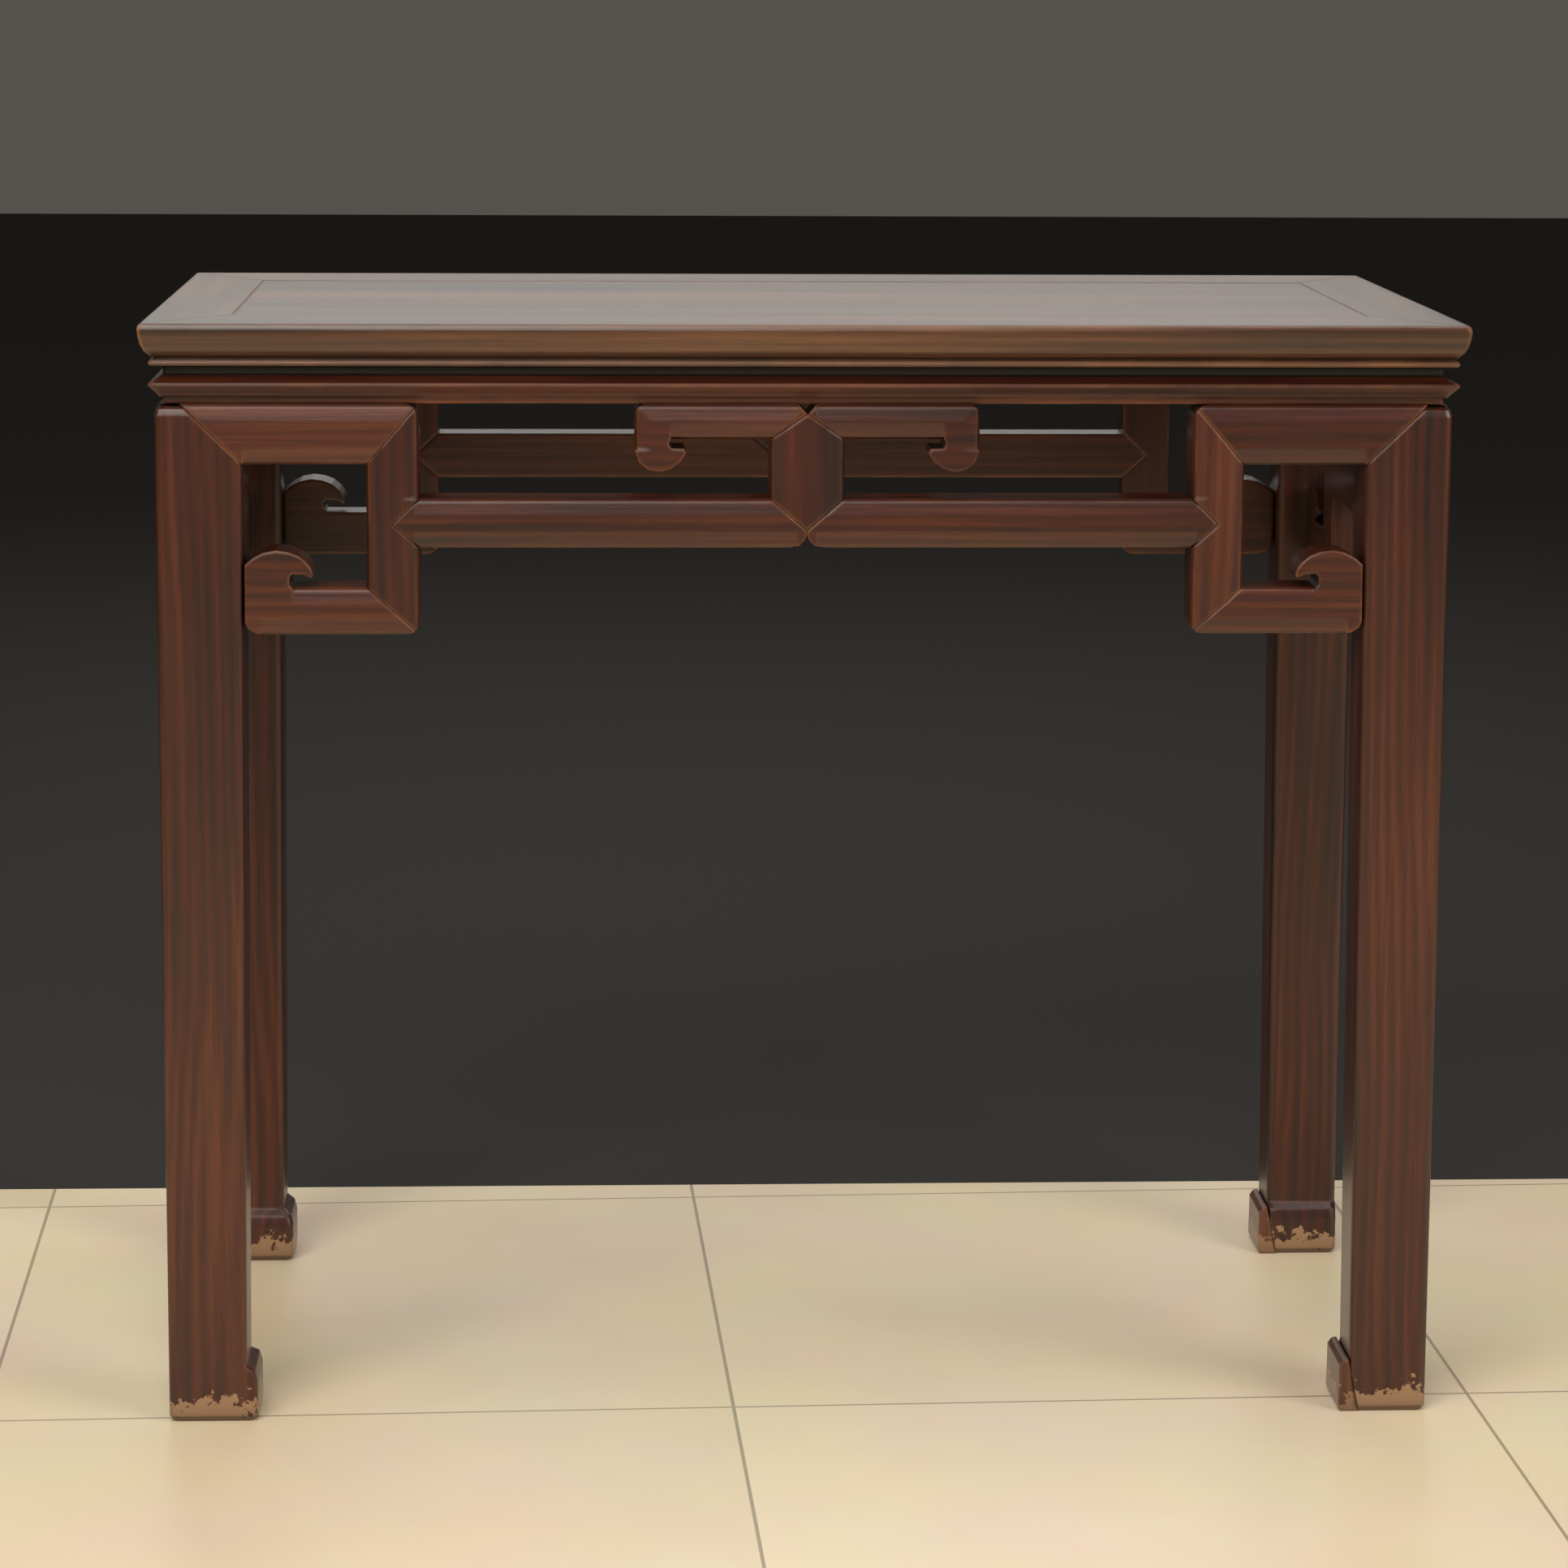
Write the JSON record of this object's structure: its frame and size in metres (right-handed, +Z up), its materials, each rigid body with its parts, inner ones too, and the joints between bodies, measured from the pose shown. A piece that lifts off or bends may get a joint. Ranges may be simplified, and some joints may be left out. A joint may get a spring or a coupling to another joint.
{
  "type": "ceremonial table",
  "caption": "Waisted wooden side table with mitred frame-and-panel top, moulded waist, mitred openwork scroll aprons on every side and square tapering legs ending in inward hoof feet.",
  "frame": {"origin": "on the floor, under the middle of the table", "axes": "+X along the length, to the right as seen from the front; +Y towards the back; +Z up, out of the top"},
  "size_m": [1.03, 0.516, 0.878],
  "materials": {
    "frame_wood": "semi-gloss red-brown lacquer, worn to ochre on the arrises",
    "top_wood": "semi-gloss warm brown lacquer, open grain",
    "waist_wood": "dull dark lacquer in the recess",
    "under_wood": "bare, aged",
    "block_wood": "worn reddish lacquer"
  },
  "bodies": {
    "root": {"leg_front_left": "frame_wood", "leg_front_right": "frame_wood", "hoof_block_front_right": "block_wood", "leg_back_left": "frame_wood", "leg_back_right": "frame_wood", "hoof_block_back_right": "block_wood", "waist_front": "waist_wood", "waist_back": "waist_wood", "waist_left": "waist_wood", "waist_right": "waist_wood", "moulding_front": "frame_wood", "moulding_back": "frame_wood", "moulding_left": "frame_wood", "moulding_right": "frame_wood", "top_rail_front": "top_wood", "top_rail_back": "top_wood", "top_rail_left": "top_wood", "top_rail_right": "top_wood", "top_panel": "top_wood", "batten_left": "under_wood", "batten_middle": "under_wood", "batten_right": "under_wood", "front_corner_rail_left": "frame_wood", "front_corner_rail_right": "frame_wood", "front_drop_left": "frame_wood", "front_drop_right": "frame_wood", "front_scroll_rail_left": "frame_wood", "front_scroll_rail_right": "frame_wood", "back_corner_rail_left": "frame_wood", "back_corner_rail_right": "frame_wood", "back_drop_left": "frame_wood", "back_drop_right": "frame_wood", "back_scroll_rail_left": "frame_wood", "back_scroll_rail_right": "frame_wood", "left_corner_rail_left": "frame_wood", "left_corner_rail_right": "frame_wood", "left_drop_left": "frame_wood", "left_drop_right": "frame_wood", "left_scroll_rail_left": "frame_wood", "left_scroll_rail_right": "frame_wood", "right_corner_rail_left": "frame_wood", "right_corner_rail_right": "frame_wood", "right_drop_left": "frame_wood", "right_drop_right": "frame_wood", "right_scroll_rail_left": "frame_wood", "right_scroll_rail_right": "frame_wood", "front_centre_post": "frame_wood", "front_scroll_arm_left": "frame_wood", "front_scroll_arm_right": "frame_wood", "front_long_rail_left": "frame_wood", "front_long_rail_right": "frame_wood", "back_centre_post": "frame_wood", "back_scroll_arm_left": "frame_wood", "back_scroll_arm_right": "frame_wood", "back_long_rail_left": "frame_wood", "back_long_rail_right": "frame_wood", "left_short_rail": "frame_wood", "right_short_rail": "frame_wood"}
  },
  "joints": []
}
